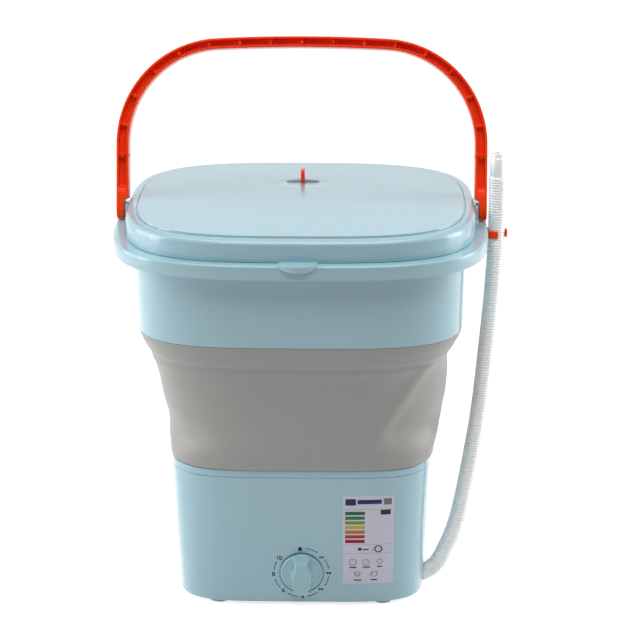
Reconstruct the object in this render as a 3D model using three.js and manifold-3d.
// A folding mini washing machine: a tapered base with the drive, a soft folding wall, a rigid upper rim
// with lid and carry handle, and a corrugated drain hose clipped to the rim.
// Millimetres, +Z up. The origin lies on the floor under the middle of the base, and the front faces -Y.
import * as THREE from "three";
import { mergeVertices } from "three/addons/utils/BufferGeometryUtils.js";
import Module from "manifold-3d";

const wasm = await Module();
wasm.setup();

// Fits and facets
const seatGap = 0.3; // between pieces that touch
const runningGap = 0.3; // round a shaft, on the radius
const overrun = 1; // how far a cutting tool passes a face
const shellPoints = 40; // round each large shell
const roundSides = 22;
const smallSides = 12;
const pinSides = 8;
const screwSides = 6;
const footSides = 10;
const wheelSides = 18;
const beltSides = 9; // round each pulley
const cornerSides = 3; // round a quarter turn of a flat outline

// Heights of the stacked outline
const footHeight = 4;
const housingHeight = 140;
const collarHeight = 8;
const bellowsHeight = 141;
const bandHeight = 76; // from the bellows to the edge of the rim's wall
const rimWallHeight = 14;
const skirtHeight = 18; // upright part of the lid's side
const lidRise = 2.5; // from the skirt's rounded edge to the raised panel
const lidCrown = 1.5;

const base = {
  halfWidth: 132, halfDepth: 99, squareness: 4.8, draft: 5.5, wall: 2.5, edge: 2,
  postRadius: 6, postHeight: 34, pilotRadius: 1.6,
};
const plate = {
  thickness: 3, recess: 0.6, slotLength: 36, slotWidth: 3.2, slotPitch: 9, ribHeight: 5, ribWidth: 2,
};
const slotCount = 6;
const foot = { radius: 11, edge: 1.2, stemRadius: 3, stemGrip: 3, sideInset: 43, frontInset: 17 };
const screw = { shankRadius: 1.5, headRadius: 3.4, headHeight: 1.6, length: 14, clearance: 0.5 };
const bowl = {
  floorDepth: 52, floorThickness: 3, wall: 3, spigotDepth: 7, floorRound: 20, bossRadius: 17, bossHeight: 6,
  drainInset: 54, drainY: -46, drainRadius: 9, strainerSeat: 1.5,
};
const drum = { wallGap: 29, edgeHeight: 4, lift: 1.6, skin: 3, dome: 9, hubRadius: 16, hubHeight: 20 };
const fin = { height: 15, thickness: 9, tipThickness: 5, inner: 12, edgeGap: 6, endHeight: 4 };
const finCount = 4;
const shaft = { radius: 4, above: 24, flat: 1 };
const bearing = { outer: 11, width: 7, edge: 0.6, shoulder: 2.5 };
const sleeve = { radius: 16, length: 44, flangeRadius: 31, flangeThickness: 4 };
const seal = { height: 6, lip: 1 };
const belt = { height: 8, thickness: 2.4 };
const bigPulley = { centreShare: 0.5625, flange: 2.5, flangeThickness: 1.6, hubRadius: 6, web: 3, rim: 3 };
const smallPulley = { drumRadius: 13, flange: 2.5, flangeThickness: 1.6 };
const beltTop = 37; // height of the belt's upper edge above the floor
const nut = { acrossFlats: 13, height: 6 };
const motor = {
  halfWidth: 31, corner: 7, stackBottom: 55, stackHeight: 22, boreRadius: 16, capRadius: 29, capHeight: 11,
  capWall: 1.8, rotorGap: 0.6, shaftRadius: 3, windingInner: 18, windingOuter: 25, windingHeight: 7,
  postRadius: 4.5, postX: 36, postY: 26, wallGap: 3.5, outerPostSink: 5.4, bracketThickness: 3, bracketMargin: 7,
};
const capacitor = {
  radius: 14, height: 50, sideInset: 40, rearInset: 51, edge: 1.5, clipWall: 2, clipHeight: 12,
  tabWidth: 6, tabThickness: 0.8, tabHeight: 7, tabSpread: 6,
};
const timer = {
  halfWidth: 21, depth: 22, corner: 5, plateHalfWidth: 26, plateThickness: 2, shaftRadius: 3,
  tabWidth: 6, tabThickness: 0.8, tabLength: 7, tabSpread: 9,
};
const knob = {
  x: 1.2, z: 38, radius: 21.2, gap: 0.6, skirt: 2, edge: 1.2, gripHeight: 14.5, gripHalfLength: 19.6,
  gripHalfWidth: 10.4, boreDepth: 11, wallHoleGap: 0.8,
};
const drain = {
  pipeRadius: 8, pipeWall: 1.5, height: 18, bendRadius: 14, flangeRadius: 13, flangeThickness: 2,
  nozzleRadius: 5, nozzleReach: 7, stubLength: 3.5, nozzleLift: 46,
};
const strainer = { radius: 14, thickness: 1.2, slot: 1.6, pitch: 3.4 };
const gland = { x: -60, z: 30, radius: 6, flangeRadius: 9, flangeThickness: 2.2, slotWidth: 6.2, slotHeight: 3.6 };
const bellows = { wall: 2.2, lipHeight: 7, lipOut: 1.2, topInset: 0.4 };
const rim = {
  halfWidth: 185, halfDepth: 153, squareness: 3.3, wall: 2.5, edge: 2.2, bandInset: 21, bandDraft: 1.2,
  bandSquareness: 3.9, bandWall: 2.5,
};
const ledge = { side: 12.6, front: 10.5 };
const lug = { thickness: 3.2, radius: 9, outset: 0.8 };
const lid = {
  squareness: 3.3, skin: 2.4, round: 6, border: 4, grooveWidth: 1.6, grooveDepth: 0.9, plugDepth: 10, plugWall: 2.2,
  plugGap: 1.6, tabRadius: 34, tabReach: 5.6, tabHalf: 19, tabThickness: 2.2, tabDrop: 6,
};
const fingerBowl = { halfWidth: 16.5, depthShare: 0.45, depth: 7, y: 54.5, wall: 2, edge: 1.5 };
const grip = { thickness: 4, rise: 12.4, halfLength: 6.6, footHeight: 1.8, footWidth: 8, round: 3 };
const handle = {
  sideInset: 0.5, depth: 20, thickness: 12, crownSlim: 1.4, pivotRise: 10.5, rise: 171.4, cornerRadius: 105,
  crownRadius: 1600,
  endThickness: 7.6, endLength: 10.4, taperLength: 3.6, flange: 2.2, pocketDepth: 8.2, ribThickness: 1.8,
  pinRadius: 4, pinPlay: 0.2, pinEndGap: 0.6, leanBack: 17,
};
const pocketCount = 18;
const archSteps = 20;
const clip = { y: -18, wall: 1.8, height: 8, padHalfWidth: 7, play: 0.35, windowGap: 0.3, flangeThickness: 1.5,
  flangeReach: 1.5 };
const hose = { radius: 8.6, ribDepth: 1.4, wall: 1.4, pitch: 4.2, cuffLength: 24, cuffRadius: 7.5, lipLength: 4.5,
  lipRadius: 6.4 };
const hoseSides = 8;
const ribsPerBoreRing = 5;

// Levels and outlines worked out from the sizes above
const housingBottom = footHeight;
const seamLevel = housingBottom + housingHeight;
const collarTop = seamLevel + collarHeight;
const bandBottom = collarTop + bellowsHeight;
const rimWallBottom = bandBottom + bandHeight;
const ledgeLevel = rimWallBottom + rimWallHeight;
const lidEdgeLevel = ledgeLevel + skirtHeight + lidRise;
const panelLevel = lidEdgeLevel + lidRise;
const pivotLevel = ledgeLevel + handle.pivotRise;
const tubFloor = collarTop - bowl.floorDepth;
const tubUnderside = tubFloor - bowl.floorThickness;
const centreDistance = base.halfWidth - base.draft - base.wall - motor.postX - motor.postRadius - motor.wallGap;
const drumRadius = centreDistance * bigPulley.centreShare;
const drainX = base.halfWidth - bowl.drainInset;
const discRadius = base.halfDepth - drum.wallGap;
const capacitorX = base.halfWidth - capacitor.sideInset;
const capacitorY = base.halfDepth - capacitor.rearInset;
const handleHalf = rim.halfWidth - handle.sideInset;

const outline = (halfWidth, halfDepth, squareness) => ({ halfWidth, halfDepth, squareness });
const inset = (plan, side, front = side) =>
  ({ ...plan, halfWidth: plan.halfWidth - side, halfDepth: plan.halfDepth - front });
const collarPlan = outline(base.halfWidth, base.halfDepth, base.squareness);
const housingPlanAt = (z) => inset(collarPlan, (base.draft * (seamLevel - z)) / housingHeight);
const rimPlan = outline(rim.halfWidth, rim.halfDepth, rim.squareness);
const bandTopPlan = { ...inset(rimPlan, rim.bandInset), squareness: rim.bandSquareness };
const bandPlanAt = (z) => inset(bandTopPlan, (rim.bandDraft * (ledgeLevel - z)) / (ledgeLevel - bandBottom));
const lidPlan = { ...inset(rimPlan, ledge.side, ledge.front), squareness: lid.squareness };

// A point of a rounded-rectangle outline, |x / a|^n + |y / b|^n = 1
function outlinePoint(plan, turn) {
  const along = Math.cos(turn);
  const across = Math.sin(turn);
  const power = 2 / plan.squareness;
  const reach = along > 0 && plan.rightHalfWidth ? plan.rightHalfWidth : plan.halfWidth;
  return new THREE.Vector2(
    Math.sign(along) * reach * Math.abs(along) ** power,
    Math.sign(across) * plan.halfDepth * Math.abs(across) ** power,
  );
}

function ring(plan, z, count = shellPoints) {
  return Array.from({ length: count }, (_, i) => {
    const p = outlinePoint(plan, (2 * Math.PI * i) / count);
    return new THREE.Vector3(p.x, p.y, z);
  });
}

// How far out a faceted outline lies: its side face at a given y, or its rear face at a given x
function reachAt(plan, place, along, across) {
  const points = ring(plan, 0);
  const crossing = points.findIndex((p, i) => {
    const q = points[(i + 1) % points.length];
    return p[across] + q[across] > 0 && (p[along] - place) * (q[along] - place) <= 0 && p[along] !== q[along];
  });
  const p = points[crossing];
  const q = points[(crossing + 1) % points.length];
  return p[across] + ((q[across] - p[across]) * (place - p[along])) / (q[along] - p[along]);
}
const sideAt = (plan, y) => reachAt(plan, y, "y", "x");
const rearAt = (plan, x) => reachAt(plan, x, "x", "y");

// A skin through rings of points. A closed one joins its last ring to its first, and an open one is capped.
function skin(rings, closed = false) {
  const count = rings[0].length;
  const points = rings.flat();
  const faces = [];
  const bands = closed ? rings.length : rings.length - 1;
  for (let i = 0; i < bands; i++) {
    const low = i * count;
    const high = ((i + 1) % rings.length) * count;
    for (let j = 0; j < count; j++) {
      const next = (j + 1) % count;
      faces.push(low + j, low + next, high + next, low + j, high + next, high + j);
    }
  }
  if (!closed) {
    const last = (rings.length - 1) * count;
    const middle = (r) => r.reduce((sum, p) => sum.add(p), new THREE.Vector3()).divideScalar(count);
    points.push(middle(rings[0]), middle(rings[rings.length - 1]));
    for (let j = 0; j < count; j++) {
      const next = (j + 1) % count;
      faces.push(points.length - 2, next, j, points.length - 1, last + j, last + next);
    }
  }
  const geometry = new THREE.BufferGeometry().setFromPoints(points);
  geometry.setIndex(faces);
  return geometry;
}

// Joining and cutting
function solid(geometry) {
  const bare = geometry.clone();
  bare.deleteAttribute("normal");
  bare.deleteAttribute("uv");
  const merged = mergeVertices(bare);
  return new wasm.Manifold(new wasm.Mesh({
    numProp: 3,
    vertProperties: merged.attributes.position.array,
    triVerts: new Uint32Array(merged.index.array),
  }));
}

function shape(body, joins = [], cuts = []) {
  let made = solid(body);
  for (const piece of joins) made = made.add(solid(piece));
  for (const tool of cuts) made = made.subtract(solid(tool));
  const mesh = made.getMesh();
  const geometry = new THREE.BufferGeometry();
  geometry.setAttribute("position", new THREE.BufferAttribute(new Float32Array(mesh.vertProperties), 3));
  geometry.setIndex(new THREE.BufferAttribute(new Uint32Array(mesh.triVerts), 1));
  return geometry;
}

// Simple forms
const rod = (radius, bottom, top, sides = roundSides) =>
  new THREE.CylinderGeometry(radius, radius, top - bottom, sides)
    .rotateX(Math.PI / 2).translate(0, 0, (bottom + top) / 2);
const rodAlongX = (radius, from, to, sides = roundSides) => rod(radius, from, to, sides).rotateY(Math.PI / 2);
const rodAlongY = (radius, from, to, sides = roundSides) => rod(radius, -to, -from, sides).rotateX(Math.PI / 2);
const turned = (profile, sides = roundSides) =>
  new THREE.LatheGeometry(profile.map(([r, z]) => new THREE.Vector2(r, z)), sides).rotateX(Math.PI / 2);
const turnedRing = (profile, sides = roundSides) => turned([...profile, profile[0]], sides);
const block = (x0, x1, y0, y1, z0, z1) =>
  new THREE.BoxGeometry(x1 - x0, y1 - y0, z1 - z0).translate((x0 + x1) / 2, (y0 + y1) / 2, (z0 + z1) / 2);
const slab = (flat, bottom, top, curveSegments = cornerSides) =>
  new THREE.ExtrudeGeometry(flat, { depth: top - bottom, bevelEnabled: false, curveSegments })
    .translate(0, 0, bottom);

function roundedRectangle(halfWidth, halfDepth, corner) {
  const flat = new THREE.Shape();
  flat.absarc(halfWidth - corner, halfDepth - corner, corner, 0, Math.PI / 2);
  flat.absarc(corner - halfWidth, halfDepth - corner, corner, Math.PI / 2, Math.PI);
  flat.absarc(corner - halfWidth, corner - halfDepth, corner, Math.PI, 1.5 * Math.PI);
  flat.absarc(halfWidth - corner, corner - halfDepth, corner, 1.5 * Math.PI, 2 * Math.PI);
  flat.closePath();
  return flat;
}

// Finishes
const finish = (color, roughness, metalness = 0) => new THREE.MeshStandardMaterial({ color, roughness, metalness });
const paleBlue = finish(0xa9d3dc, 0.32);
const bluePlastic = finish(0x9fcbd5, 0.38);
const greySoft = finish(0x9d9a98, 0.55);
const orange = finish(0xe8420f, 0.35);
const hoseWhite = finish(0xe6e8e4, 0.4);
const whitePlastic = finish(0xe4e6e6, 0.4);
const blackPlastic = finish(0x25272a, 0.5);
const blackRubber = finish(0x1d1d1f, 0.8);
const steel = finish(0xb4b6b8, 0.3, 1);
const lamination = finish(0x77797c, 0.45, 1);
const copper = finish(0xb46a3a, 0.4, 1);
const aluminium = finish(0xc3c5c7, 0.4, 1);

const machine = new THREE.Group();
function place(name, geometry, material, parent = machine) {
  const mesh = new THREE.Mesh(geometry, material);
  mesh.name = name;
  parent.add(mesh);
  return mesh;
}

// Places shared by the base, its plate, the posts and the screws
const plateBottom = housingBottom + plate.recess;
const plateTop = plateBottom + plate.thickness;
const insideBottomPlan = inset(housingPlanAt(housingBottom), base.wall);
const cornerTurn = Math.PI / 4;
const postCorner = outlinePoint(inset(insideBottomPlan, base.postRadius / 2), cornerTurn);
const corners = [[-1, -1], [1, -1], [-1, 1], [1, 1]];
const footX = base.halfWidth - base.draft - foot.sideInset;
const footY = base.halfDepth - base.draft - foot.frontInset;

// Knob, shaft and timer lie on the normal of the leaning front wall
const frontLean = Math.atan(base.draft / housingHeight);
const frontPanel = new THREE.Group();
frontPanel.position.set(knob.x, -housingPlanAt(knob.z).halfDepth, knob.z);
frontPanel.rotation.x = Math.PI / 2 + frontLean;
machine.add(frontPanel);

// The drain pipe runs down from the tub floor, along to the right wall, and its nozzle rises outside
const drainWallX = sideAt(housingPlanAt(drain.height), bowl.drainY);
const nozzleLift = THREE.MathUtils.degToRad(drain.nozzleLift);
const nozzleRun = new THREE.Vector3(Math.cos(nozzleLift), 0, Math.sin(nozzleLift));
const nozzleStart = new THREE.Vector3(drainWallX + drain.stubLength, bowl.drainY, drain.height);

function baseHousing() {
  const rings = [
    ring(inset(housingPlanAt(housingBottom), base.edge / 2), housingBottom),
    ring(housingPlanAt(housingBottom + base.edge), housingBottom + base.edge),
    ring(housingPlanAt(seamLevel), seamLevel),
    ring(inset(housingPlanAt(seamLevel), base.wall), seamLevel),
    ring(insideBottomPlan, housingBottom),
  ];
  const postBottom = plateTop + seatGap;
  const posts = corners.map(([sx, sy]) =>
    rod(base.postRadius, postBottom, postBottom + base.postHeight, pinSides)
      .translate(sx * postCorner.x, sy * postCorner.y, 0));
  const pilots = corners.map(([sx, sy]) =>
    rod(screw.shankRadius + seatGap, postBottom - overrun, postBottom + screw.length, screwSides)
      .translate(sx * postCorner.x, sy * postCorner.y, 0));
  const knobHole = rodAlongY(timer.shaftRadius + knob.wallHoleGap, -base.halfDepth - overrun,
    -base.halfDepth + base.draft + base.wall + overrun, smallSides).translate(knob.x, 0, knob.z);
  const drainHole = rodAlongX(drain.pipeRadius + seatGap, drainWallX - 3 * base.wall, drainWallX + base.wall,
    smallSides).translate(0, bowl.drainY, drain.height);
  const glandHole = rodAlongY(gland.radius + seatGap, base.halfDepth - base.draft - base.wall - overrun,
    base.halfDepth + overrun, smallSides).translate(gland.x, 0, gland.z);
  return shape(skin(rings, true), posts, [...pilots, knobHole, drainHole, glandHole]);
}

function basePlate() {
  const edge = inset(insideBottomPlan, seatGap);
  const ribPlan = edge.halfWidth / 2;
  const ribs = [-1, 1].map((side) =>
    block(-ribPlan, ribPlan, side * footY / 2 - plate.ribWidth / 2, side * footY / 2 + plate.ribWidth / 2,
      plateTop - seatGap, plateTop + plate.ribHeight));
  const cup = turnedRing([
    [capacitor.radius + seatGap, plateTop - seatGap],
    [capacitor.radius + seatGap + capacitor.clipWall, plateTop - seatGap],
    [capacitor.radius + seatGap + capacitor.clipWall, plateTop + capacitor.clipHeight],
    [capacitor.radius + seatGap, plateTop + capacitor.clipHeight],
  ], smallSides).translate(capacitorX, capacitorY, 0);
  const through = [plateBottom - overrun, plateTop + overrun];
  const holes = corners.flatMap(([sx, sy]) => [
    rod(foot.stemRadius + seatGap, ...through, pinSides).translate(sx * footX, sy * footY, 0),
    rod(screw.shankRadius + screw.clearance, ...through, pinSides).translate(sx * postCorner.x, sy * postCorner.y, 0),
  ]);
  const slots = Array.from({ length: slotCount }, (_, i) => {
    const y = (i - (slotCount - 1) / 2) * plate.slotPitch;
    return block(-plate.slotLength / 2, plate.slotLength / 2, y - plate.slotWidth / 2, y + plate.slotWidth / 2,
      ...through).translate(-centreDistance, 0, 0);
  });
  return shape(skin([ring(edge, plateBottom), ring(edge, plateTop)]), [...ribs, cup], [...holes, ...slots]);
}

function rubberFoot() {
  const top = plateBottom - seatGap;
  return turned([
    [0, 0], [foot.radius - foot.edge, 0], [foot.radius, foot.edge], [foot.radius, top],
    [foot.stemRadius, top], [foot.stemRadius, plateTop + foot.stemGrip], [0, plateTop + foot.stemGrip],
  ], footSides);
}

// A screw that points up from its head, with the head's upper face at z = 0
function panScrew() {
  return turned([
    [0, -screw.headHeight], [screw.headRadius - screw.headHeight / 2, -screw.headHeight], [screw.headRadius, 0],
    [screw.shankRadius, 0], [screw.shankRadius, screw.length - screw.shankRadius], [0, screw.length],
  ], screwSides);
}

function tubBowl() {
  const spigot = inset(housingPlanAt(seamLevel - bowl.spigotDepth), base.wall + seatGap);
  const inside = inset(collarPlan, bowl.wall);
  const knee = tubFloor + bowl.floorRound;
  const kneeOut = inset(spigot, bowl.floorRound / 6);
  const floorOut = inset(spigot, bowl.floorRound);
  const bendOut = inset(spigot, bowl.floorRound / 3);
  const collarBottom = seamLevel + seatGap;
  const rings = [
    ring(floorOut, tubUnderside),
    ring(bendOut, tubUnderside + bowl.floorRound / 3),
    ring(kneeOut, knee - bowl.floorThickness),
    ring(spigot, seamLevel - bowl.spigotDepth),
    ring(spigot, collarBottom),
    ring(collarPlan, collarBottom),
    ring(collarPlan, collarTop),
    ring(inside, collarTop),
    ring(inset(kneeOut, bowl.wall), knee),
    ring(inset(bendOut, bowl.wall), tubFloor + bowl.floorRound / 3),
    ring(inset(floorOut, bowl.wall), tubFloor),
  ];
  const bossRadius = bowl.bossRadius;
  const boss = turned([
    [0, tubUnderside], [bossRadius, tubUnderside], [bossRadius - seal.lip, tubFloor + bowl.bossHeight],
    [0, tubFloor + bowl.bossHeight],
  ]);
  const postBottom = motor.stackBottom - motor.capHeight;
  const posts = corners.map(([sx, sy]) => {
    const postTop = tubUnderside + (sx < 0 ? motor.outerPostSink : overrun);
    return rod(motor.postRadius, postBottom + seatGap, postTop, pinSides)
      .translate(sx * motor.postX - centreDistance, sy * motor.postY, 0);
  });
  const pilots = corners.map(([sx, sy]) =>
    rod(screw.shankRadius + seatGap, postBottom - overrun, postBottom + screw.length, screwSides)
      .translate(sx * motor.postX - centreDistance, sy * motor.postY, 0));
  const sealHole = rod(bearing.outer + seatGap, tubUnderside - overrun, tubFloor + bowl.bossHeight + overrun);
  const drainHole = rod(bowl.drainRadius, tubUnderside - overrun, tubFloor + overrun, smallSides)
    .translate(drainX, bowl.drainY, 0);
  const strainerSeat = rod(strainer.radius + seatGap, tubFloor - bowl.strainerSeat, tubFloor + overrun, roundSides)
    .translate(drainX, bowl.drainY, 0);
  return shape(skin(rings), [boss, ...posts], [sealHole, drainHole, strainerSeat, ...pilots]);
}

function drainStrainer() {
  const bottom = tubFloor - bowl.strainerSeat + seatGap;
  const disc = rod(strainer.radius, bottom, bottom + strainer.thickness);
  const count = Math.floor((2 * bowl.drainRadius) / strainer.pitch);
  const slots = Array.from({ length: count }, (_, i) => {
    const x = (i - (count - 1) / 2) * strainer.pitch;
    const half = Math.sqrt(bowl.drainRadius ** 2 - x ** 2) - strainer.slot / 2;
    return block(x - strainer.slot / 2, x + strainer.slot / 2, -half, half, bottom - overrun,
      bottom + strainer.thickness + overrun);
  });
  return shape(disc, [], slots).translate(drainX, bowl.drainY, 0);
}

const pipeSteps = 7;

// A pipe of round section along a line of points with one rounded bend
function pipe(radius, start, bend, end, bendRadius, sides = pinSides) {
  const before = start.clone().sub(bend).setLength(bendRadius).add(bend);
  const after = end.clone().sub(bend).setLength(bendRadius).add(bend);
  const path = new THREE.CurvePath();
  path.add(new THREE.LineCurve3(start, before));
  path.add(new THREE.QuadraticBezierCurve3(before, bend, after));
  path.add(new THREE.LineCurve3(after, end));
  const section = new THREE.Shape().absarc(0, 0, radius, 0, 2 * Math.PI);
  return new THREE.ExtrudeGeometry(section, { steps: pipeSteps, curveSegments: sides / 2, extrudePath: path });
}

function drainElbow() {
  const top = new THREE.Vector3(drainX, bowl.drainY, tubUnderside - seatGap);
  const bend = new THREE.Vector3(drainX, bowl.drainY, drain.height);
  const stubEnd = nozzleStart.clone();
  const outside = stubEnd.clone().addScaledVector(nozzleRun, drain.nozzleReach + drain.pipeRadius / 2);
  const bore = drain.nozzleRadius - drain.pipeWall;
  const body = pipe(drain.pipeRadius, top, bend, stubEnd, drain.bendRadius);
  const up = new THREE.Quaternion().setFromUnitVectors(new THREE.Vector3(0, 0, 1), nozzleRun);
  const nozzle = rod(drain.nozzleRadius, 0, outside.distanceTo(stubEnd), smallSides).applyQuaternion(up)
    .translate(stubEnd.x, stubEnd.y, stubEnd.z);
  const topFlange = rod(drain.flangeRadius, top.z - drain.flangeThickness, top.z, smallSides)
    .translate(drainX, bowl.drainY, 0);
  const collarRadius = drain.pipeRadius + drain.flangeThickness;
  const lowWall = inset(housingPlanAt(drain.height - collarRadius), base.wall);
  const collarFace = sideAt(lowWall, Math.abs(bowl.drainY) + collarRadius + drain.flangeThickness) - seatGap;
  const wallFlange = rodAlongX(collarRadius, collarFace - drain.flangeThickness, collarFace, smallSides)
    .translate(0, bowl.drainY, drain.height);
  const knuckle = new THREE.SphereGeometry(drain.pipeRadius - seatGap, pinSides, pinSides / 2)
    .translate(stubEnd.x, stubEnd.y, stubEnd.z);
  const boreDown = pipe(bore, top.clone().setZ(top.z + overrun), bend, stubEnd, drain.bendRadius);
  const boreUp = rod(bore, 0, outside.distanceTo(stubEnd) + overrun, pinSides).applyQuaternion(up)
    .translate(stubEnd.x, stubEnd.y, stubEnd.z);
  return shape(body, [nozzle, topFlange, wallFlange, knuckle], [boreDown, boreUp]);
}

function cableGland() {
  const lowWall = inset(housingPlanAt(gland.z - gland.flangeRadius), base.wall);
  const inner = rearAt(lowWall, gland.x - gland.flangeRadius) - seatGap;
  const outer = rearAt(housingPlanAt(gland.z + gland.flangeRadius), gland.x + gland.flangeRadius) + seatGap;
  const body = turned([
    [0, inner - gland.flangeThickness], [gland.flangeRadius, inner - gland.flangeThickness],
    [gland.flangeRadius, inner], [gland.radius, inner], [gland.radius, outer], [gland.flangeRadius, outer],
    [gland.radius, outer + gland.flangeThickness], [0, outer + gland.flangeThickness],
  ], smallSides).rotateX(-Math.PI / 2);
  const slot = block(-gland.slotWidth / 2, gland.slotWidth / 2, inner - gland.flangeThickness - overrun,
    outer + gland.flangeThickness + overrun, -gland.slotHeight / 2, gland.slotHeight / 2);
  return shape(body, [], [slot]).translate(gland.x, 0, gland.z);
}

// Drive: bearings in a sleeve under the tub floor, shaft, pulleys, belt and motor
const sleeveTop = tubUnderside - seatGap;
const sleeveBottom = sleeveTop - sleeve.length;
const bearingPocket = bearing.outer + seatGap;
const upperBearingBottom = sleeveTop - bearing.width - seatGap;
const lowerBearingBottom = sleeveBottom + bearing.width / 2;
const beltBottom = beltTop - belt.height;

function bearingSleeve() {
  const shoulder = bearing.outer - bearing.shoulder;
  return turnedRing([
    [bearingPocket, sleeveBottom], [sleeve.radius, sleeveBottom], [sleeve.radius, sleeveTop - sleeve.flangeThickness],
    [sleeve.flangeRadius, sleeveTop - sleeve.flangeThickness], [sleeve.flangeRadius, sleeveTop],
    [bearingPocket, sleeveTop], [bearingPocket, upperBearingBottom - seatGap],
    [shoulder, upperBearingBottom - seatGap], [shoulder, lowerBearingBottom + bearing.width + seatGap],
    [bearingPocket, lowerBearingBottom + bearing.width + seatGap],
  ], smallSides);
}

function ballBearing(bottom) {
  const top = bottom + bearing.width;
  const inner = shaft.radius + runningGap;
  return turnedRing([
    [inner, bottom], [bearing.outer - bearing.edge, bottom], [bearing.outer, bottom + bearing.edge],
    [bearing.outer, top - bearing.edge], [bearing.outer - bearing.edge, top], [inner, top],
  ], smallSides);
}

function shaftSeal() {
  const bottom = tubUnderside + seatGap;
  const top = bottom + seal.height;
  const inner = shaft.radius + runningGap;
  return turnedRing([
    [inner + seal.lip, bottom], [bearing.outer, bottom], [bearing.outer, top], [inner + seal.lip, top],
    [inner, top - seal.lip], [inner, top - 2 * seal.lip],
  ], smallSides);
}

const shaftBottom = beltBottom - bigPulley.flangeThickness - nut.height - 2 * seatGap - shaft.flat;
const shaftTop = tubFloor + shaft.above;
const shaftPilot = screw.shankRadius + runningGap;
const driveShaft = () => turned([
  [0, shaftBottom], [shaft.radius - shaft.flat, shaftBottom], [shaft.radius, shaftBottom + shaft.flat],
  [shaft.radius, shaftTop], [shaftPilot, shaftTop], [shaftPilot, shaftTop - screw.length], [0, shaftTop - screw.length],
], smallSides);

function drivenPulley() {
  const bottom = beltBottom - bigPulley.flangeThickness - seatGap;
  const top = beltTop + bigPulley.flangeThickness + seatGap;
  const edge = drumRadius + bigPulley.flange;
  const bore = shaft.radius + runningGap;
  const webBottom = (bottom + top - bigPulley.web) / 2;
  const webTop = webBottom + bigPulley.web;
  const inside = drumRadius - bigPulley.rim;
  const hub = bigPulley.hubRadius + bigPulley.web;
  return turnedRing([
    [bore, bottom], [hub, bottom], [hub, webBottom], [inside, webBottom], [inside, bottom], [edge, bottom],
    [edge, bottom + bigPulley.flangeThickness], [drumRadius, bottom + bigPulley.flangeThickness],
    [drumRadius, top - bigPulley.flangeThickness], [edge, top - bigPulley.flangeThickness], [edge, top],
    [inside, top], [inside, webTop], [bigPulley.hubRadius, webTop],
    [bigPulley.hubRadius, lowerBearingBottom - seatGap], [bore, lowerBearingBottom - seatGap],
  ], wheelSides);
}

function motorPulley() {
  const bottom = beltBottom - smallPulley.flangeThickness - seatGap;
  const top = beltTop + smallPulley.flangeThickness + seatGap;
  const edge = smallPulley.drumRadius + smallPulley.flange;
  const bore = motor.shaftRadius + runningGap;
  return turnedRing([
    [bore, bottom], [edge, bottom], [edge, bottom + smallPulley.flangeThickness],
    [smallPulley.drumRadius, bottom + smallPulley.flangeThickness],
    [smallPulley.drumRadius, top - smallPulley.flangeThickness], [edge, top - smallPulley.flangeThickness],
    [edge, top], [bore, top],
  ], smallSides).translate(-centreDistance, 0, 0);
}

// A belt's outline: the tight loop round both pulleys, at a distance from their drums
function loopOutline(line, distance) {
  const big = drumRadius + distance;
  const small = smallPulley.drumRadius + distance;
  const wrap = Math.acos((big - small) / centreDistance);
  line.absarc(0, 0, big, wrap - Math.PI, Math.PI - wrap);
  line.absarc(-centreDistance, 0, small, Math.PI - wrap, Math.PI + wrap);
  line.closePath();
  return line;
}

function driveBelt() {
  const line = loopOutline(new THREE.Shape(), runningGap + belt.thickness);
  line.holes.push(loopOutline(new THREE.Path(), runningGap));
  return slab(line, beltBottom, beltTop, beltSides);
}

function pulleyNut() {
  const top = beltBottom - bigPulley.flangeThickness - 2 * seatGap;
  const radius = nut.acrossFlats / Math.sqrt(3);
  return shape(rod(radius, top - nut.height, top, 6), [],
    [rod(shaft.radius + runningGap, top - nut.height - overrun, top + overrun, smallSides)]);
}

const stackTop = motor.stackBottom + motor.stackHeight;
const atMotor = (geometry) => geometry.translate(-centreDistance, 0, 0);

function statorStack() {
  const stack = slab(roundedRectangle(motor.halfWidth, motor.halfWidth, motor.corner), motor.stackBottom, stackTop);
  const bore = rod(motor.boreRadius, motor.stackBottom - overrun, stackTop + overrun);
  return atMotor(shape(stack, [], [bore]));
}

const windingRing = (bottom) => atMotor(turnedRing([
  [motor.windingInner, bottom], [motor.windingOuter, bottom], [motor.windingOuter, bottom + motor.windingHeight],
  [motor.windingInner, bottom + motor.windingHeight],
], smallSides));

// An end cap as a cup that opens towards the stack; side is 1 above it and -1 below it
function endCap(side) {
  const hole = motor.shaftRadius + runningGap;
  const inside = motor.capRadius - motor.capWall;
  const depth = motor.capHeight - 2 * seatGap;
  const profile = [
    [inside, 0], [motor.capRadius, 0], [motor.capRadius, depth - motor.capWall],
    [motor.capRadius - motor.capWall, depth], [hole, depth], [hole, depth - motor.capWall],
    [inside, depth - motor.capWall],
  ];
  const cup = turnedRing(profile, smallSides);
  if (side < 0) cup.rotateX(Math.PI);
  const seat = side > 0 ? stackTop + seatGap : motor.stackBottom - seatGap;
  return atMotor(cup.translate(0, 0, seat));
}

function motorRotor() {
  const bottom = beltBottom - smallPulley.flangeThickness - seatGap;
  const top = stackTop + motor.capHeight + 2 * motor.capWall;
  const radius = motor.boreRadius - motor.rotorGap;
  const half = motor.capWall;
  return atMotor(turned([
    [0, bottom], [motor.shaftRadius, bottom], [motor.shaftRadius, motor.stackBottom - half],
    [radius, motor.stackBottom - half], [radius, stackTop + half], [motor.shaftRadius, stackTop + half],
    [motor.shaftRadius, top], [0, top],
  ], smallSides));
}

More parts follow.
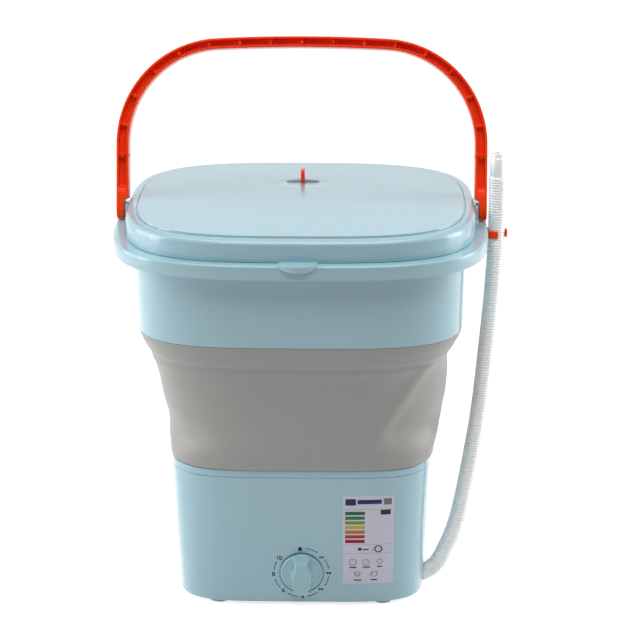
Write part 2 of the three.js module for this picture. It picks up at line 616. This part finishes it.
function motorBracket() {
  const top = motor.stackBottom - motor.capHeight;
  const flat = roundedRectangle(motor.postX + motor.bracketMargin, motor.postY + motor.bracketMargin, motor.corner);
  flat.holes.push(new THREE.Path().absarc(0, 0, smallPulley.drumRadius - smallPulley.flange, 0, 2 * Math.PI));
  for (const [sx, sy] of corners) {
    const hole = new THREE.Path().absarc(sx * motor.postX, sy * motor.postY, screw.shankRadius + seatGap, 0,
      2 * Math.PI);
    flat.holes.push(hole);
  }
  return atMotor(slab(flat, top - motor.bracketThickness, top));
}

function runCapacitor() {
  const bottom = plateTop + seatGap;
  const top = bottom + capacitor.height;
  const can = turned([
    [0, bottom], [capacitor.radius - capacitor.edge, bottom], [capacitor.radius, bottom + capacitor.edge],
    [capacitor.radius, top - capacitor.edge], [capacitor.radius - capacitor.edge, top], [0, top],
  ], smallSides);
  const tabs = [-1, 1].map((side) =>
    block(side * capacitor.tabSpread - capacitor.tabThickness / 2, side * capacitor.tabSpread
      + capacitor.tabThickness / 2, -capacitor.tabWidth / 2, capacitor.tabWidth / 2, top - overrun,
      top + capacitor.tabHeight));
  return shape(can, tabs).translate(capacitorX, capacitorY, 0);
}

// In the front panel's frame z runs out of the wall, and z = 0 is the wall's outer face
const timerFront = -base.wall - 2 * seatGap;

function timerBody() {
  const front = slab(roundedRectangle(timer.plateHalfWidth, timer.halfWidth, timer.corner),
    timerFront - timer.plateThickness, timerFront);
  const box = slab(roundedRectangle(timer.halfWidth, timer.halfWidth, timer.corner),
    timerFront - timer.depth, timerFront - timer.plateThickness / 2);
  const bottom = timerFront - timer.depth;
  const tabs = [-1, 1].flatMap((sx) => [-1, 1].map((sy) =>
    block(sx * timer.tabSpread - timer.tabWidth / 2, sx * timer.tabSpread + timer.tabWidth / 2,
      sy * timer.tabSpread - timer.tabThickness / 2, sy * timer.tabSpread + timer.tabThickness / 2,
      bottom - timer.tabLength, bottom + overrun)));
  const bore = rod(timer.shaftRadius + runningGap, timerFront - timer.depth / 2, timerFront + overrun, smallSides);
  return shape(front, [box, ...tabs], [bore]);
}

const timerShaft = () => shape(
  rod(timer.shaftRadius, timerFront - timer.depth / 2 + seatGap, knob.gap + knob.boreDepth - seatGap, smallSides));

// The knob's grip, half outline from its pointer end to its tail, as shares of half length and half width
const gripShares = [
  [1, 0.62], [0.94, 0.76], [0.68, 0.71], [0.42, 0.69], [0.2, 0.92], [0, 1], [-0.18, 0.99], [-0.46, 0.87],
  [-0.8, 0.7], [-0.96, 0.58], [-1, 0.45],
];

function timerKnob() {
  const bottom = knob.gap;
  const face = bottom + knob.skirt;
  const disc = turned([
    [0, bottom], [knob.radius, bottom], [knob.radius, face - knob.edge], [knob.radius - knob.edge, face], [0, face],
  ]);
  const side = (sign) => gripShares.map(([along, across]) =>
    new THREE.Vector2(sign * across * knob.gripHalfWidth, along * knob.gripHalfLength));
  const flat = new THREE.Shape([...side(1), ...side(-1).reverse()]);
  const bevel = knob.edge;
  const bar = new THREE.ExtrudeGeometry(flat, {
    depth: knob.gripHeight - bevel, bevelThickness: bevel, bevelSize: bevel, bevelOffset: -bevel, bevelSegments: 1,
  }).translate(0, 0, face - bevel);
  const bore = rod(timer.shaftRadius + seatGap, bottom - overrun, bottom + knob.boreDepth, smallSides);
  return shape(disc, [bar], [bore]);
}

// Pulsator: a domed disc with radial fins and a hub on the shaft
const slopeShares = { out: 0.55, up: 0.6 };

function pulsatorDisc() {
  const hubBottom = tubFloor + bowl.bossHeight + drum.lift;
  const bottom = tubFloor + drum.lift;
  const edgeTop = bottom + drum.edgeHeight;
  const top = hubBottom + drum.skin;
  const dome = edgeTop + drum.dome;
  const slope = [discRadius * slopeShares.out, edgeTop + drum.dome * slopeShares.up];
  const body = turned([
    [0, hubBottom], [drum.hubRadius, hubBottom], [drum.hubRadius + bowl.bossHeight, hubBottom],
    [discRadius - drum.skin, bottom + drum.skin / 2], [discRadius - drum.skin, bottom], [discRadius, bottom],
    [discRadius, edgeTop - drum.skin / 2], [discRadius - drum.skin / 2, edgeTop], slope,
    [drum.hubRadius, dome], [drum.hubRadius - drum.skin / 2, top + drum.hubHeight - drum.skin],
    [0, top + drum.hubHeight - drum.skin],
  ], roundSides);
  const hubTop = top + drum.hubHeight - drum.skin;
  const fins = Array.from({ length: finCount }, (_, i) => {
    const profile = new THREE.Shape();
    profile.moveTo(fin.inner, hubBottom + drum.skin / 2);
    profile.lineTo(discRadius - fin.edgeGap, edgeTop - drum.skin / 2);
    profile.lineTo(discRadius - fin.edgeGap, edgeTop + fin.endHeight);
    profile.quadraticCurveTo((discRadius - fin.edgeGap + fin.inner) / 2, edgeTop + fin.height, fin.inner, dome + fin.endHeight);
    profile.closePath();
    const bevel = (fin.thickness - fin.tipThickness) / 2;
    const blade = new THREE.ExtrudeGeometry(profile, {
      depth: fin.tipThickness, bevelThickness: bevel, bevelSize: bevel, bevelOffset: -bevel, bevelSegments: 1,
      curveSegments: cornerSides,
    });
    return blade.translate(0, 0, -fin.tipThickness / 2).rotateX(Math.PI / 2)
      .rotateZ((2 * Math.PI * i) / finCount + Math.PI / finCount);
  });
  const bore = rod(shaft.radius + runningGap, hubBottom - overrun, shaftTop + seatGap, smallSides);
  const screwHole = rod(screw.shankRadius + screw.clearance, shaftTop - overrun, hubTop + overrun, pinSides);
  return shape(body, fins, [bore, screwHole]);
}

const hubTop = tubFloor + bowl.bossHeight + drum.lift + drum.hubHeight;

function pulsatorCap() {
  const bottom = hubTop + seatGap;
  const height = screw.headHeight + drum.skin;
  const outer = drum.hubRadius - drum.skin / 2;
  const inside = screw.headRadius + seatGap;
  return turned([
    [0, bottom + screw.headHeight + seatGap], [inside, bottom + screw.headHeight + seatGap], [inside, bottom],
    [outer, bottom], [outer, bottom + height / 2], [outer - height / 2, bottom + height], [0, bottom + height],
  ], smallSides);
}

// Upper rim: the band, the flat ledge and the down-turned edge, with a pivot lug at each side
const lugInner = rim.halfWidth - ledge.side + lug.outset;

function lugPlate(side) {
  const flat = new THREE.Shape();
  flat.moveTo(-lug.radius, ledgeLevel - rim.wall / 2);
  flat.lineTo(lug.radius, ledgeLevel - rim.wall / 2);
  flat.absarc(0, pivotLevel, lug.radius, 0, Math.PI);
  flat.closePath();
  flat.holes.push(new THREE.Path().absarc(0, pivotLevel, handle.pinRadius + handle.pinPlay, 0, 2 * Math.PI));
  const low = side > 0 ? lugInner : -lugInner - lug.thickness;
  return slab(flat, low, low + lug.thickness, smallSides / 2).applyMatrix4(
    new THREE.Matrix4().makeBasis(new THREE.Vector3(0, 1, 0), new THREE.Vector3(0, 0, 1), new THREE.Vector3(1, 0, 0)));
}

const clipLevel = rimWallBottom + rimWallHeight / 2;
const hoseCentreX = rim.halfWidth + clip.play + hose.radius;

function upperRim() {
  const top = ledgeLevel;
  const under = top - rim.wall;
  const seat = inset(bandPlanAt(top), rim.bandWall);
  const rings = [
    ring(bandPlanAt(bandBottom), bandBottom),
    ring(bandPlanAt(under), under),
    ring(inset(rimPlan, rim.wall), under),
    ring(inset(rimPlan, rim.wall), rimWallBottom),
    ring(rimPlan, rimWallBottom),
    ring(rimPlan, top - rim.edge),
    ring(inset(rimPlan, rim.edge / 3), top - rim.edge / 3),
    ring(inset(rimPlan, rim.edge), top),
    ring(seat, top),
    ring(inset(bandPlanAt(bandBottom), rim.bandWall), bandBottom),
  ];
  const window = block(rim.halfWidth - 2 * rim.wall, rim.halfWidth + overrun,
    clip.y - clip.padHalfWidth - clip.windowGap, clip.y + clip.padHalfWidth + clip.windowGap,
    clipLevel - clip.height / 2 - clip.windowGap, clipLevel + clip.height / 2 + clip.windowGap);
  return shape(skin(rings, true), [lugPlate(-1), lugPlate(1)], [window]);
}

// The clip's pad sits in the rim wall's window, its flange behind the wall, and its ring holds the hose.
// The ring's free ends leave a mouth at the front right, given as turns from +X.
const clipMouth = { frontTurn: -1.5, sideTurn: -0.42 };

function hoseClip() {
  const inner = hose.radius + clip.play;
  const outer = inner + clip.wall;
  const low = clipLevel - clip.height / 2;
  const high = clipLevel + clip.height / 2;
  const wallFace = sideAt(rimPlan, clip.y - clip.padHalfWidth);
  const c = new THREE.Shape();
  c.absarc(0, 0, outer, clipMouth.sideTurn, clipMouth.frontTurn + 2 * Math.PI);
  c.absarc(0, 0, inner, clipMouth.frontTurn + 2 * Math.PI, clipMouth.sideTurn, true);
  c.closePath();
  const ringShape = slab(c, low, high, smallSides / 2).translate(hoseCentreX, clip.y, 0);
  const flangeEnd = clip.y - clip.padHalfWidth - clip.flangeReach;
  const flangeFace = sideAt(inset(rimPlan, rim.wall), flangeEnd) - seatGap;
  const pad = block(flangeFace - seatGap, wallFace, clip.y - clip.padHalfWidth, clip.y + clip.padHalfWidth, low, high);
  const flange = block(flangeFace - clip.flangeThickness, flangeFace, flangeEnd, 2 * clip.y - flangeEnd, low, high);
  const behindWall = block(wallFace - rim.wall - clip.wall * 3, wallFace - rim.wall, clip.y - outer, clip.y + outer,
    low - overrun, high + overrun);
  const besideFront = block(wallFace - rim.wall - overrun, wallFace + seatGap, clip.y - outer - overrun,
    clip.y - clip.padHalfWidth, low - overrun, high + overrun);
  const besideBack = block(wallFace - rim.wall - overrun, wallFace + seatGap, clip.y + clip.padHalfWidth,
    clip.y + outer + overrun, low - overrun, high + overrun);
  const trimmed = shape(ringShape, [], [behindWall, besideFront, besideBack]);
  const hoseRoom = rod(inner, low - overrun, high + overrun).translate(hoseCentreX, clip.y, 0);
  return shape(trimmed, [shape(pad, [flange])], [hoseRoom]);
}

// Lid: a shallow cap with an upright skirt, a raised panel inside a groove, a plug lip, a finger bowl and a tab
const crownShares = [0.97, 0.6];

function lidCap() {
  const skirtBottom = ledgeLevel + seatGap;
  const skirtTop = ledgeLevel + skirtHeight;
  const under = lidEdgeLevel - lid.skin;
  const plug = inset(bandPlanAt(ledgeLevel), rim.bandWall + lid.plugGap);
  const plugBottom = ledgeLevel - lid.plugDepth;
  const edgePlan = inset(lidPlan, lid.round);
  const groove = inset(edgePlan, lid.border);
  const panel = inset(groove, lid.grooveWidth);
  const dome = (share) => ({ ...panel, halfWidth: panel.halfWidth * share, halfDepth: panel.halfDepth * share,
    squareness: 2 + (panel.squareness - 2) * share });
  const crown = (share) => panelLevel + lidCrown * (1 - share ** 2);
  const rings = [
    ring(inset(plug, lid.plugWall), under),
    ring(inset(plug, lid.plugWall), plugBottom),
    ring(plug, plugBottom),
    ring(plug, under),
    ring(inset(lidPlan, lid.skin), under - lid.round / 3),
    ring(inset(lidPlan, lid.skin), skirtBottom),
    ring(lidPlan, skirtBottom),
    ring(lidPlan, skirtTop - lid.round / 2),
    ring(inset(lidPlan, lid.round / 3), skirtTop + lidRise / 3),
    ring(edgePlan, lidEdgeLevel),
    ring(groove, lidEdgeLevel + lidRise / 3),
    ring(inset(groove, lid.grooveWidth / 2), lidEdgeLevel + lidRise / 3 - lid.grooveDepth),
    ring(panel, panelLevel - lid.grooveDepth / 3),
    ...crownShares.map((share) => ring(dome(share), crown(share))),
  ];
  const bowlTop = crown(0);
  const r = fingerBowl.halfWidth;
  const bowlFloor = bowlTop - fingerBowl.depth;
  const bowlCup = turned([
    [0, bowlFloor - fingerBowl.wall], [r, bowlFloor - fingerBowl.wall], [r + fingerBowl.wall, bowlFloor],
    [r + fingerBowl.wall, under + lid.skin / 2], [0, under + lid.skin / 2],
  ]).scale(1, fingerBowl.depthShare, 1).translate(0, fingerBowl.y, 0);
  const bowlRoom = turned([
    [0, bowlFloor], [r - fingerBowl.edge, bowlFloor], [r, bowlFloor + fingerBowl.edge],
    [r, panelLevel - fingerBowl.edge], [r + 2 * fingerBowl.edge, bowlTop + fingerBowl.edge],
    [0, bowlTop + fingerBowl.edge],
  ]).scale(1, fingerBowl.depthShare, 1).translate(0, fingerBowl.y, 0);
  const tabCentre = -(rim.halfDepth + lid.tabReach - lid.tabRadius);
  const tabTop = skirtBottom + lid.tabThickness;
  const disc = rod(lid.tabRadius, skirtBottom, tabTop).translate(0, tabCentre, 0);
  const cutTab = (from, to, rear) => block(from, to, -rim.halfWidth, rear, skirtBottom - overrun, tabTop + overrun);
  const behindSkirt = block(-rim.halfWidth, rim.halfWidth, -lidPlan.halfDepth + lid.skin / 2, rim.halfDepth,
    skirtBottom - overrun, tabTop + overrun);
  const tab = shape(disc, [], [behindSkirt, cutTab(-rim.halfWidth, -lid.tabHalf, 0), cutTab(lid.tabHalf, rim.halfWidth, 0)]);
  const hook = turnedRing([
    [lid.tabRadius - lid.tabThickness, tabTop - lid.tabDrop], [lid.tabRadius, tabTop - lid.tabDrop],
    [lid.tabRadius, tabTop], [lid.tabRadius - lid.tabThickness, tabTop],
  ]).translate(0, tabCentre, 0);
  const keepHook = block(-2 * lid.tabRadius, 2 * lid.tabRadius, -rim.halfDepth - seatGap, rim.halfDepth,
    tabTop - lid.tabDrop - overrun, tabTop + overrun);
  return shape(skin(rings), [bowlCup, tab, shape(hook, [], [keepHook])], [bowlRoom]);
}

function lidGrip() {
  const top = panelLevel + lidCrown + grip.rise;
  const bottom = panelLevel + lidCrown - fingerBowl.depth + seatGap;
  const reach = grip.halfLength;
  const fin = new THREE.Shape();
  fin.moveTo(-reach + fingerBowl.edge, bottom);
  fin.lineTo(reach - fingerBowl.edge, bottom);
  fin.lineTo(reach, bottom + fingerBowl.edge);
  fin.lineTo(reach, top - 2 * grip.round);
  fin.absarc(reach - grip.round, top - grip.round, grip.round, 0, Math.PI / 2);
  fin.absarc(grip.round - reach, top - grip.round, grip.round, Math.PI / 2, Math.PI);
  fin.lineTo(-reach, bottom + fingerBowl.edge);
  fin.closePath();
  const upright = new THREE.Matrix4().makeBasis(
    new THREE.Vector3(0, 1, 0), new THREE.Vector3(0, 0, 1), new THREE.Vector3(1, 0, 0));
  const blade = slab(fin, -grip.thickness / 2, grip.thickness / 2).applyMatrix4(upright);
  const pad = block(-grip.footWidth / 2, grip.footWidth / 2, -grip.halfLength / 2, grip.halfLength / 2, bottom,
    bottom + grip.footHeight);
  return shape(blade, [pad]).translate(0, fingerBowl.y, 0);
}

// Carry handle: an arch with a channel on both faces, crossed by ribs, and a pin at each end
const half = handle.thickness / 2;
const archTop = pivotLevel + handle.rise;
const crownAngle = Math.asin((handleHalf - handle.cornerRadius) / (handle.crownRadius - handle.cornerRadius));
const cornerX = handleHalf - handle.cornerRadius;
const cornerZ = archTop - handle.crownRadius
  + (handle.crownRadius - handle.cornerRadius) * Math.cos(crownAngle);
const legLength = cornerZ - pivotLevel;
const cornerLength = (handle.cornerRadius - half) * (Math.PI / 2 - crownAngle);
const crownLength = 2 * (handle.crownRadius - half) * crownAngle;
const archLength = 2 * (legLength + cornerLength) + crownLength;

// A point at a distance along the arch's middle line and an offset to its outside, in x and z
function archPoint(distance, offset) {
  if (distance > archLength / 2) {
    const mirrored = archPoint(archLength - distance, offset);
    return mirrored.set(-mirrored.x, mirrored.y);
  }
  if (distance <= legLength) return new THREE.Vector2(half - handleHalf - offset, pivotLevel + distance);
  if (distance <= legLength + cornerLength) {
    const turn = (distance - legLength) / (handle.cornerRadius - half);
    const radius = handle.cornerRadius - half + offset;
    return new THREE.Vector2(-cornerX - radius * Math.cos(turn), cornerZ + radius * Math.sin(turn));
  }
  const turn = (distance - archLength / 2) / (handle.crownRadius - half);
  const radius = handle.crownRadius - half + offset;
  return new THREE.Vector2(radius * Math.sin(turn), archTop - handle.crownRadius + radius * Math.cos(turn));
}

// The inner edge: full thickness up the legs, slimmer from the corners over the crown
function innerOffset(distance) {
  const fromEnd = Math.min(distance, archLength - distance);
  const share = THREE.MathUtils.smoothstep(fromEnd, legLength, legLength + cornerLength);
  return handle.crownSlim * share - half;
}

const steps = (from, to, count) => Array.from({ length: count + 1 }, (_, i) => from + ((to - from) * i) / count);
const standing = (geometry) => geometry.rotateX(Math.PI / 2);

function carryHandle() {
  const stations = [0, legLength / 2, ...steps(legLength, archLength - legLength, archSteps), archLength - legLength / 2,
    archLength];
  const outer = stations.map((s) => archPoint(s, half));
  const thin = half - handle.endThickness;
  const thick = handle.endLength + handle.taperLength;
  const innerStations = [0, handle.endLength, thick, ...stations.slice(2, -2), archLength - thick,
    archLength - handle.endLength, archLength];
  const inner = innerStations.map((s) => {
    const fromEnd = Math.min(s, archLength - s);
    return archPoint(s, fromEnd <= handle.endLength ? thin : innerOffset(s));
  });
  const depth = handle.depth;
  const body = standing(slab(new THREE.Shape([...outer, ...inner.reverse()]), -depth / 2, depth / 2));
  const ends = [-1, 1].map((side) => {
    const out = side * handleHalf;
    const thinFace = side * (handleHalf - handle.endThickness);
    return rodAlongX(depth / 2, Math.min(out, thinFace), Math.max(out, thinFace)).translate(0, 0, pivotLevel);
  });
  const pinEnd = rim.halfWidth - ledge.side + handle.pinEndGap;
  const pins = [-1, 1].map((side) => {
    const root = side * (handleHalf - handle.endThickness / 2);
    return rodAlongX(handle.pinRadius, Math.min(root, side * pinEnd), Math.max(root, side * pinEnd), smallSides)
      .translate(0, 0, pivotLevel);
  });
  const firstRib = thick + depth / 2;
  const pitch = (archLength - 2 * firstRib) / pocketCount;
  const wall = half - handle.flange;
  const pockets = [];
  for (let i = 0; i < pocketCount; i++) {
    const middleOfPocket = firstRib + (i + 0.5) * pitch;
    const fromEnd = Math.min(middleOfPocket, archLength - middleOfPocket);
    const onCorner = fromEnd > legLength - pitch / 2 && fromEnd < legLength + cornerLength + pitch / 2;
    const along = steps(firstRib + i * pitch + handle.ribThickness / 2,
      firstRib + (i + 1) * pitch - handle.ribThickness / 2, onCorner ? cornerSides : 1);
    const flat = new THREE.Shape([
      ...along.map((s) => archPoint(s, wall)),
      ...along.map((s) => archPoint(s, innerOffset(s) + handle.flange)).reverse(),
    ]);
    pockets.push(standing(slab(flat, depth / 2 - handle.pocketDepth, depth / 2 + overrun)));
    pockets.push(standing(slab(flat, -depth / 2 - overrun, handle.pocketDepth - depth / 2)));
  }
  return shape(shape(body, [], pockets), [...ends, ...pins]).translate(0, 0, -pivotLevel)
    .rotateX(-THREE.MathUtils.degToRad(handle.leanBack)).translate(0, 0, pivotLevel);
}

// Folding wall. Each entry: share of the height from the top, share of the draw-in on the left, and on the right.
const foldShares = [
  [0, 0, 0], [0.05, 0.04, 0.06], [0.1, 0.13, 0.17], [0.17, 0.264, 0.273], [0.245, 0.4, 0.455], [0.32, 0.49, 0.477],
  [0.395, 0.58, 0.472], [0.5, 0.67, 0.488], [0.65, 0.755, 0.525], [0.8, 0.825, 0.6], [0.9, 0.86, 0.7],
  [0.97, 0.89, 0.8],
];
const bellowsPoints = 40;

function foldingWall() {
  const bottom = collarTop + seatGap;
  const top = bandBottom - seatGap;
  const topPlan = inset(bandPlanAt(bandBottom), bellows.topInset);
  const bottomPlan = inset(collarPlan, bellows.lipOut);
  const drawn = topPlan.halfWidth - bottomPlan.halfWidth;
  const drawnDepth = topPlan.halfDepth - bottomPlan.halfDepth;
  const lipTop = bottom + bellows.lipHeight;
  const level = ([fall, left, right], wall) => {
    const plan = {
      halfWidth: topPlan.halfWidth - drawn * left - wall,
      rightHalfWidth: topPlan.halfWidth - drawn * right - wall,
      halfDepth: topPlan.halfDepth - (drawnDepth * (left + right)) / 2 - wall,
      squareness: topPlan.squareness + (bottomPlan.squareness - topPlan.squareness) * fall,
    };
    return ring(plan, top - (top - lipTop) * fall, bellowsPoints);
  };
  const outside = foldShares.map((row) => level(row, 0)).reverse();
  const inside = foldShares.map((row) => level(row, bellows.wall));
  const rings = [
    ring(bottomPlan, bottom, bellowsPoints), ring(bottomPlan, lipTop, bellowsPoints),
    ...outside, ...inside, ring(inset(bottomPlan, bellows.wall), bottom, bellowsPoints),
  ];
  return skin(rings, true);
}

// Drain hose. Its route rises from the nozzle, leans out along the bellows and stands up through the clip.
const hoseStart = nozzleStart.clone().addScaledVector(nozzleRun, drain.pipeRadius + seatGap);
const hoseRoute = [
  hoseStart,
  hoseStart.clone().addScaledVector(nozzleRun, hose.radius),
  ...[
    [144.2, -44.9, 34.6], [147.3, -44, 42], [150.6, -43.3, 49], [154.2, -42.6, 56.2], [160.3, -41.1, 74.9],
    [164.6, -39.5, 94.6], [168.6, -37.8, 116.3], [172.2, -36, 137.8], [175.6, -34.3, 159.3], [178.8, -32.6, 180.7],
    [181.3, -30.8, 201.9], [183.4, -29.1, 223], [185.3, -27.4, 244], [187.1, -25.7, 264.9], [188.9, -24, 285.7],
    [190.5, -22.3, 306.4], [192.4, -20.2, 338], [193.6, -18.7, 360], [193.95, -18, 376], [194, -18, 398],
    [193.8, -18, 420], [193.4, -18, 440], [193, -18, 457.5],
  ].map((p) => new THREE.Vector3(...p)),
];

function ribbedHose() {
  const curve = new THREE.CatmullRomCurve3(hoseRoute, false, "centripetal");
  const length = curve.getLength();
  const ribbed = length - hose.cuffLength - hose.lipLength;
  const ribCount = Math.round(ribbed / hose.pitch);
  const frames = curve.computeFrenetFrames(4 * ribCount, false);
  const around = (distance, radius) => {
    const share = distance / length;
    const middle = curve.getPointAt(share);
    const index = Math.round(share * 4 * ribCount);
    return Array.from({ length: hoseSides }, (_, j) => {
      const turn = (2 * Math.PI * j) / hoseSides;
      return middle.clone()
        .addScaledVector(frames.normals[index], radius * Math.cos(turn))
        .addScaledVector(frames.binormals[index], radius * Math.sin(turn));
    });
  };
  const root = hose.radius - hose.ribDepth;
  const pitch = ribbed / ribCount;
  const outside = [];
  for (let i = 0; i < ribCount; i++) {
    outside.push(around(i * pitch, i ? root : hose.radius), around((i + 0.5) * pitch, hose.radius));
  }
  outside.push(around(ribbed, root), around(ribbed + hose.pitch / 2, hose.cuffRadius),
    around(length - hose.lipLength, hose.cuffRadius), around(length - hose.lipLength, hose.lipRadius),
    around(length, hose.lipRadius));
  const bore = root - hose.wall;
  const endBore = hose.lipRadius - hose.wall;
  const inside = [around(length, endBore), around(length - hose.cuffLength, endBore)];
  for (let i = ribCount - ribsPerBoreRing; i > 0; i -= ribsPerBoreRing) inside.push(around(i * pitch, bore));
  inside.push(around(0, bore));
  return skin([...outside, ...inside], true);
}

// Assembly
place("base_housing", baseHousing(), paleBlue);
place("base_plate", basePlate(), bluePlastic);
const sideNames = { "-1": "left", 1: "right" };
const endNames = { "-1": "front", 1: "rear" };
for (const [sx, sy] of corners) {
  const where = `${endNames[sy]}_${sideNames[sx]}`;
  place(`foot_${where}`, rubberFoot(), bluePlastic).position.set(sx * footX, sy * footY, 0);
  place(`plate_screw_${where}`, panScrew(), steel)
    .position.set(sx * postCorner.x, sy * postCorner.y, plateBottom - seatGap);
  place(`motor_screw_${where}`, panScrew(), steel).position.set(
    sx * motor.postX - centreDistance, sy * motor.postY,
    motor.stackBottom - motor.capHeight - motor.bracketThickness - seatGap);
}
place("tub_bowl", tubBowl(), paleBlue);
place("drain_strainer", drainStrainer(), whitePlastic);
place("drain_elbow", drainElbow(), whitePlastic);
place("cable_gland", cableGland(), blackRubber);
place("bearing_housing", bearingSleeve(), aluminium);
place("upper_bearing", ballBearing(upperBearingBottom), steel);
place("lower_bearing", ballBearing(lowerBearingBottom), steel);
place("shaft_seal", shaftSeal(), blackRubber);
place("drive_shaft", driveShaft(), steel);
place("driven_pulley", drivenPulley(), blackPlastic);
place("pulley_nut", pulleyNut(), steel);
place("drive_belt", driveBelt(), blackRubber);
place("motor_pulley", motorPulley(), aluminium);
place("motor_rotor", motorRotor(), steel);
place("motor_stator", statorStack(), lamination);
place("upper_winding", windingRing(stackTop + seatGap), copper);
place("lower_winding", windingRing(motor.stackBottom - seatGap - motor.windingHeight), copper);
place("upper_end_cap", endCap(1), aluminium);
place("lower_end_cap", endCap(-1), aluminium);
place("motor_bracket", motorBracket(), steel);
place("run_capacitor", runCapacitor(), whitePlastic);
place("timer_body", timerBody(), blackPlastic, frontPanel);
place("timer_shaft", timerShaft(), whitePlastic, frontPanel);
place("timer_knob", timerKnob(), paleBlue, frontPanel);
place("pulsator", pulsatorDisc(), whitePlastic);
place("pulsator_screw", panScrew().rotateX(Math.PI), steel).position.set(0, 0, hubTop + seatGap);
place("pulsator_cap", pulsatorCap(), bluePlastic);
place("upper_rim", upperRim(), paleBlue);
place("hose_clip", hoseClip(), orange);
place("lid", lidCap(), paleBlue);
place("lid_grip", lidGrip(), orange);
place("carry_handle", carryHandle(), orange);
place("bellows", foldingWall(), greySoft);
place("drain_hose", ribbedHose(), hoseWhite);

export default machine;
